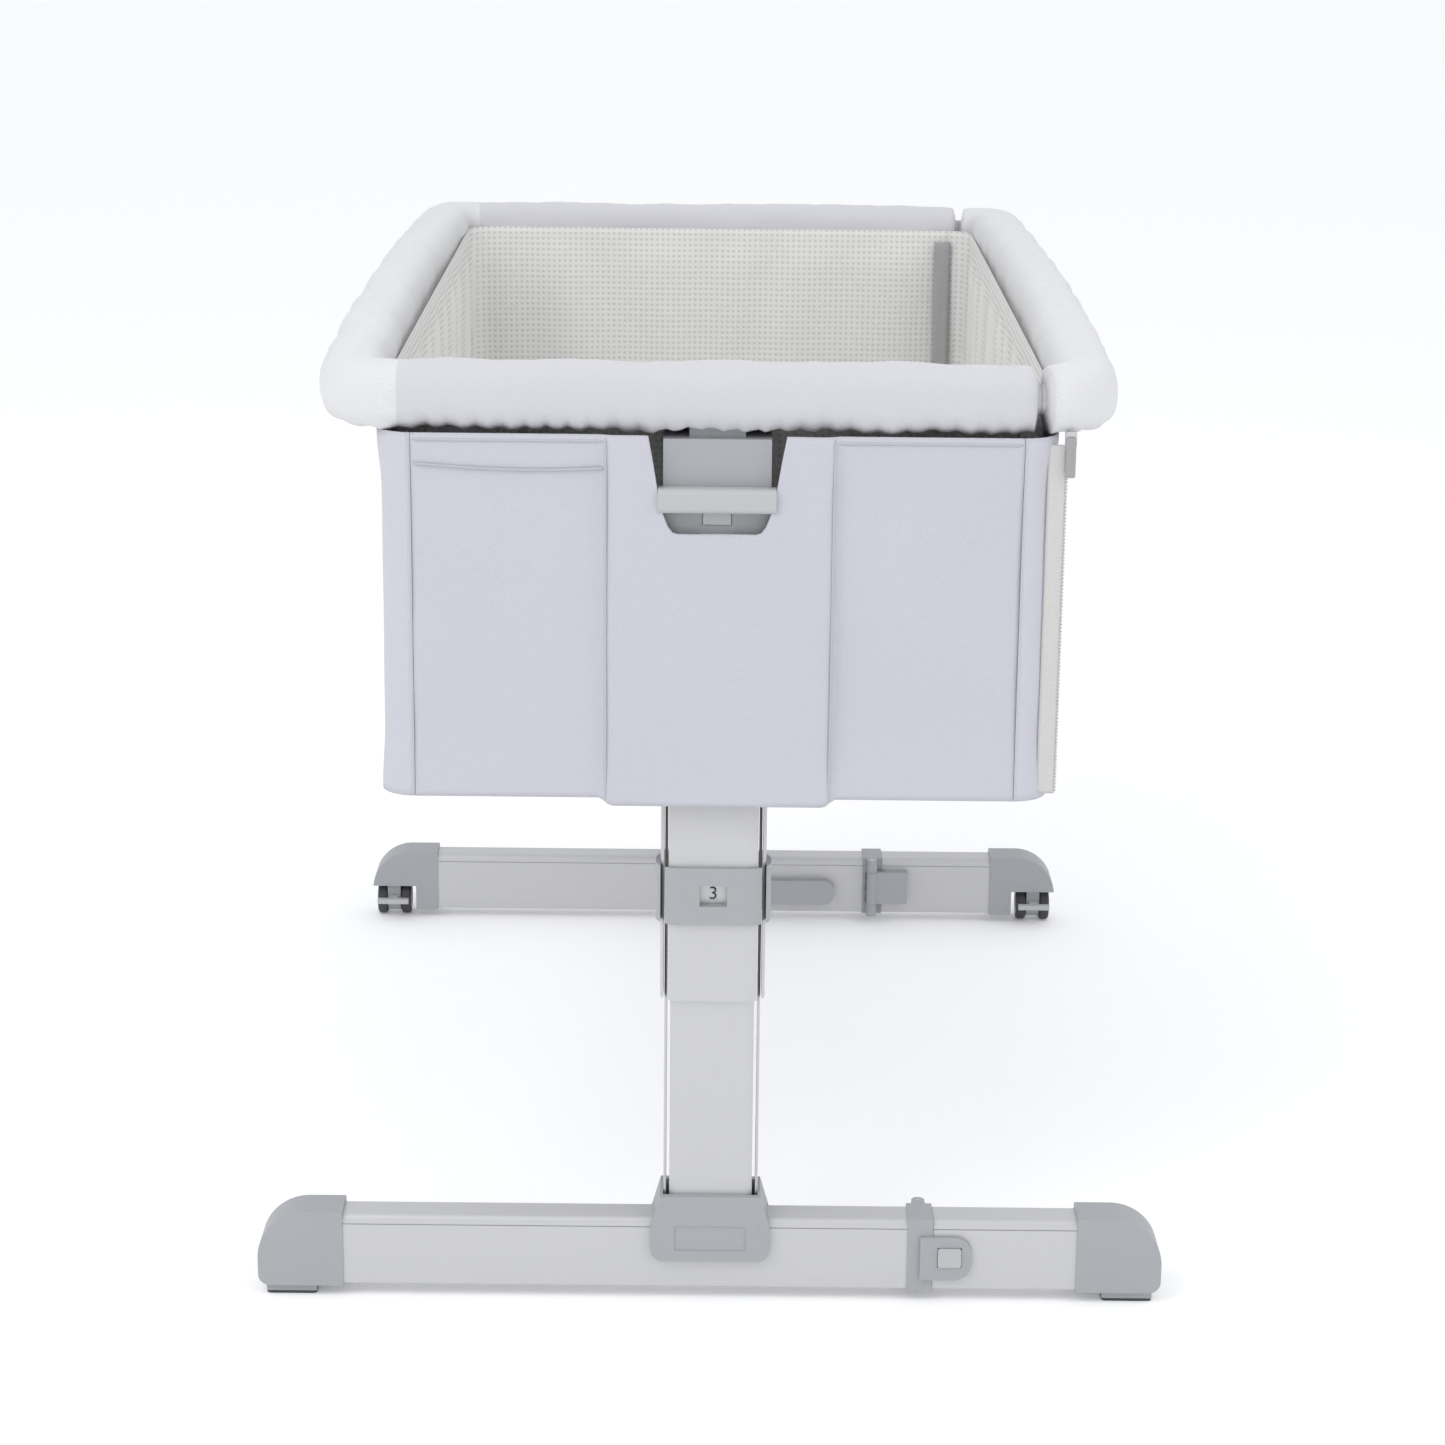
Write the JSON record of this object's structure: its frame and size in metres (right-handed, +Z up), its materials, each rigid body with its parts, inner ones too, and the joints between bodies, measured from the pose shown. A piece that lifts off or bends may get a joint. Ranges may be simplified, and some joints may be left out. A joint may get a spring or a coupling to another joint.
{
  "type": "bassinet on stand",
  "caption": "Bedside bassinet: fabric box with padded rail and drop side on two height-adjustable legs with folding feet.",
  "frame": {"origin": "on the floor under the middle of the cot", "axes": "+X towards the drop side, +Y along the cot towards the end with the casters, +Z up"},
  "size_m": [0.688, 0.94, 0.72],
  "materials": {
    "rubber": "matt",
    "painted_tube": "satin powder coat",
    "steel": "bright",
    "mesh_lining": "open mesh",
    "mattress_cover": "quilted",
    "board": "matt",
    "lilac_fabric": "plain weave",
    "pull_tape": "woven tape",
    "light_plastic": "satin",
    "grey_plastic": "fine grain"
  },
  "bodies": {
    "cot": {"top_rail_tube": "steel", "fixed_rail_cover": "lilac_fabric", "left_side_panel": "lilac_fabric", "fixed_lining": "mesh_lining", "floor_sheet": "lilac_fabric", "mattress_board": "board", "mattress": "mattress_cover", "lower_frame_tubes": "steel", "frame_brackets": "grey_plastic", "near_outer_tube": "painted_tube", "near_head_housing": "grey_plastic", "near_collar": "grey_plastic", "near_end_panel": "lilac_fabric", "far_outer_tube": "painted_tube", "far_head_housing": "grey_plastic", "far_collar": "grey_plastic", "far_end_panel": "lilac_fabric"},
    "drop_side": {"right_rail_tube": "steel", "right_rail_cover": "lilac_fabric", "right_side_panel": "lilac_fabric", "right_lining": "mesh_lining"},
    "near_leg": {"near_post": "painted_tube", "near_base_cover": "grey_plastic", "near_main_bar": "painted_tube", "near_left_cap": "grey_plastic", "near_hinge_housing": "grey_plastic", "near_hinge_pin": "steel", "near_left_pad": "rubber"},
    "near_foot_end": {"near_fold_bar": "painted_tube", "near_hinge_leaf": "grey_plastic", "near_right_cap": "grey_plastic", "near_right_pad": "rubber"},
    "near_fold_button": {"near_fold_button": "grey_plastic"},
    "near_lever": {"near_lever": "grey_plastic"},
    "near_latch_pin": {"near_latch_pin": "steel"},
    "near_zip_slider": {"near_zip_slider": "steel"},
    "near_zip_pull": {"near_zip_pull": "pull_tape"},
    "far_leg": {"far_post": "painted_tube", "far_base_cover": "grey_plastic", "far_main_bar": "painted_tube", "far_left_cap": "grey_plastic", "far_hinge_housing": "grey_plastic", "far_hinge_pin": "steel", "far_left_caster_fork": "grey_plastic"},
    "far_foot_end": {"far_fold_bar": "painted_tube", "far_hinge_leaf": "grey_plastic", "far_right_cap": "grey_plastic", "far_right_caster_fork": "grey_plastic"},
    "far_fold_button": {"far_fold_button": "grey_plastic"},
    "far_lever": {"far_lever": "grey_plastic"},
    "far_latch_pin": {"far_latch_pin": "steel"},
    "far_zip_slider": {"far_zip_slider": "steel"},
    "far_zip_pull": {"far_zip_pull": "pull_tape"},
    "far_left_wheels": {"far_left_hubs": "grey_plastic", "far_left_tyres": "rubber"},
    "far_left_brake": {"far_left_brake": "light_plastic"},
    "far_right_wheels": {"far_right_hubs": "grey_plastic", "far_right_tyres": "rubber"},
    "far_right_brake": {"far_right_brake": "light_plastic"}
  },
  "joints": [
    {"name": "near_leg_slide", "type": "slide", "parent": "cot", "child": "near_leg", "axis": [0, 0, -1], "range_m": [-0.06, 0.09]},
    {"name": "near_foot_fold", "type": "hinge", "parent": "near_leg", "child": "near_foot_end", "pos_m": [0.1595, -0.4145, 0.038], "axis": [0, 0, 1], "range_deg": [0, 90]},
    {"name": "near_fold_button_press", "type": "slide", "parent": "near_leg", "child": "near_fold_button", "axis": [0, 1, 0], "range_m": [0, 0.003], "stiffness_N_per_m": 800, "springref_m": -0.002},
    {"name": "near_lever_lift", "type": "slide", "parent": "cot", "child": "near_lever", "axis": [0, 0, 1], "range_m": [0, 0.01], "stiffness_N_per_m": 600, "springref_m": -0.004},
    {"name": "near_latch_pull", "type": "slide", "parent": "cot", "child": "near_latch_pin", "axis": [0, -1, 0], "range_m": [0, 0.003]},
    {"name": "near_zip_run", "type": "slide", "parent": "drop_side", "child": "near_zip_slider", "axis": [-0.1166, -0.0583, -0.9915], "range_m": [0, 0.235]},
    {"name": "near_zip_pull_swing", "type": "hinge", "parent": "near_zip_slider", "child": "near_zip_pull", "pos_m": [0.25, -0.4596, 0.672], "axis": [-1, 0, 0], "range_deg": [0, 110]},
    {"name": "far_leg_slide", "type": "slide", "parent": "cot", "child": "far_leg", "axis": [0, 0, -1], "range_m": [-0.06, 0.09]},
    {"name": "far_foot_fold", "type": "hinge", "parent": "far_leg", "child": "far_foot_end", "pos_m": [0.1595, 0.4145, 0.038], "axis": [0, 0, -1], "range_deg": [0, 90]},
    {"name": "far_fold_button_press", "type": "slide", "parent": "far_leg", "child": "far_fold_button", "axis": [0, -1, 0], "range_m": [0, 0.003], "stiffness_N_per_m": 800, "springref_m": -0.002},
    {"name": "far_lever_lift", "type": "slide", "parent": "cot", "child": "far_lever", "axis": [0, 0, 1], "range_m": [0, 0.01], "stiffness_N_per_m": 600, "springref_m": -0.004},
    {"name": "far_latch_pull", "type": "slide", "parent": "cot", "child": "far_latch_pin", "axis": [0, 1, 0], "range_m": [0, 0.003]},
    {"name": "far_zip_run", "type": "slide", "parent": "drop_side", "child": "far_zip_slider", "axis": [-0.1166, 0.0583, -0.9915], "range_m": [0, 0.235]},
    {"name": "far_zip_pull_swing", "type": "hinge", "parent": "far_zip_slider", "child": "far_zip_pull", "pos_m": [0.25, 0.4596, 0.672], "axis": [1, 0, 0], "range_deg": [0, 110]},
    {"name": "far_left_wheel_spin", "type": "hinge", "parent": "far_leg", "child": "far_left_wheels", "pos_m": [-0.3235, 0.436, 0.016], "axis": [1, 0, 0], "continuous": true},
    {"name": "far_left_brake_press", "type": "hinge", "parent": "far_leg", "child": "far_left_brake", "pos_m": [-0.3235, 0.4227, 0.02], "axis": [1, 0, 0], "range_deg": [0, 10]},
    {"name": "far_right_wheel_spin", "type": "hinge", "parent": "far_foot_end", "child": "far_right_wheels", "pos_m": [0.3235, 0.436, 0.016], "axis": [1, 0, 0], "continuous": true},
    {"name": "far_right_brake_press", "type": "hinge", "parent": "far_foot_end", "child": "far_right_brake", "pos_m": [0.3235, 0.4227, 0.02], "axis": [1, 0, 0], "range_deg": [0, 10]},
    {"name": "drop_side_fold", "type": "hinge", "parent": "cot", "child": "drop_side", "pos_m": [0.2435, 0, 0.404], "axis": [0, 1, 0], "range_deg": [0, 145]}
  ],
  "couplings": [
    {"joint": "near_latch_pull", "follows": "near_lever_lift", "ratio": 0.3},
    {"joint": "far_latch_pull", "follows": "far_lever_lift", "ratio": 0.3}
  ]
}
